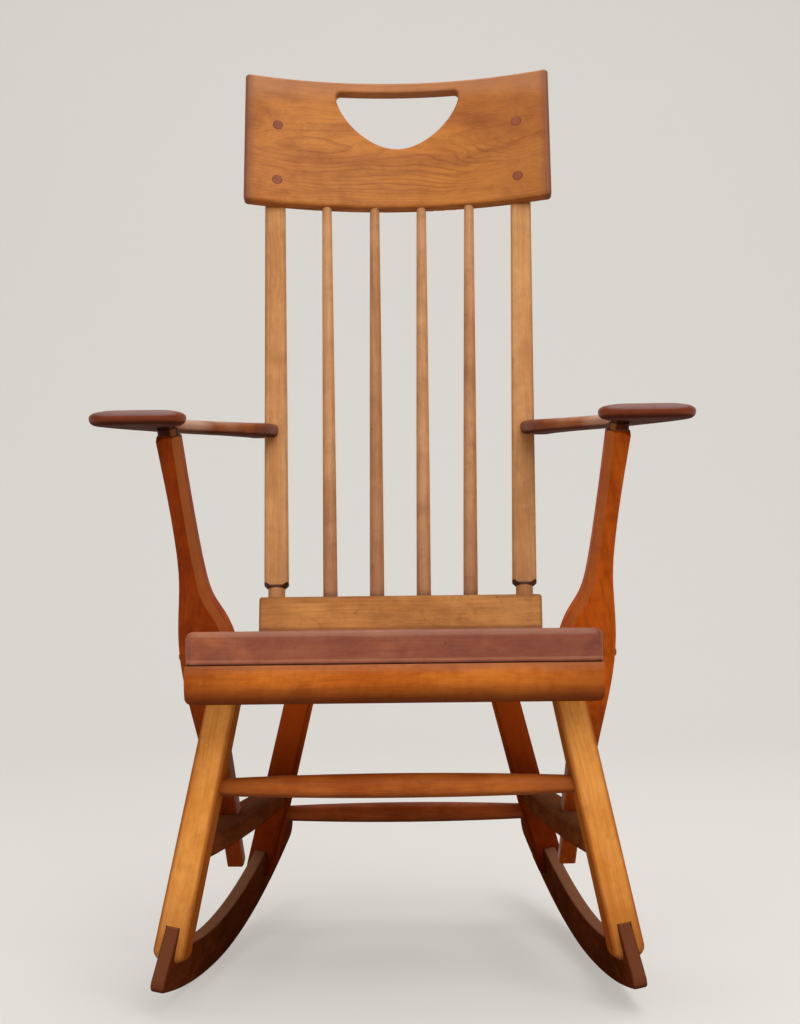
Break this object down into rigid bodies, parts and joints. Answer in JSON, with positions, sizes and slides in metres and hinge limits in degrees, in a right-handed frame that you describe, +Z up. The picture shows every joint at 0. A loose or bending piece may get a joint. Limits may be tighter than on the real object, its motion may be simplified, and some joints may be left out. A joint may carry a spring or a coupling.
{
  "type": "rocking chair",
  "caption": "Open-armed wooden rocking chair: spindle back under a bent crest rail with a hand hole, paddle arms, splayed forked legs on canted rockers.",
  "frame": {"origin": "on the floor, halfway between the frontmost and the rearmost point, on the plane of symmetry", "axes": "+Z up, the sitter faces -Y, +X is the sitter's left"},
  "size_m": [0.6216, 0.6652, 1.0733],
  "materials": {
    "stained_hardwood": "amber-stained, satin lacquer, darker at arms, seat edge and rockers",
    "dark_plug": "dark stained, satin",
    "plain_dowel": "bare birch",
    "screw_steel": "zinc-plated wood screw"
  },
  "bodies": {
    "root": {"seat_plank": "stained_hardwood", "seat_front_apron": "stained_hardwood", "seat_riser": "stained_hardwood", "back_post_left": "stained_hardwood", "back_post_right": "stained_hardwood", "spindle_1": "stained_hardwood", "spindle_2": "stained_hardwood", "spindle_3": "stained_hardwood", "spindle_4": "stained_hardwood", "crest_rail": "stained_hardwood", "arm_left": "stained_hardwood", "arm_right": "stained_hardwood", "arm_support_left": "stained_hardwood", "arm_support_right": "stained_hardwood", "front_leg_left": "stained_hardwood", "front_leg_right": "stained_hardwood", "rear_leg_left": "stained_hardwood", "rear_leg_right": "stained_hardwood", "rocker_left": "stained_hardwood", "rocker_right": "stained_hardwood", "front_stretcher": "stained_hardwood", "rear_stretcher": "stained_hardwood", "side_stretcher_left": "stained_hardwood", "side_stretcher_right": "stained_hardwood", "crest_plugs": "dark_plug", "arm_plugs": "dark_plug", "support_buttons": "dark_plug", "apron_dowels": "plain_dowel", "rocker_pins": "plain_dowel", "crest_screws": "screw_steel", "arm_screws": "screw_steel", "support_screws": "screw_steel", "riser_screws": "screw_steel"}
  },
  "joints": []
}
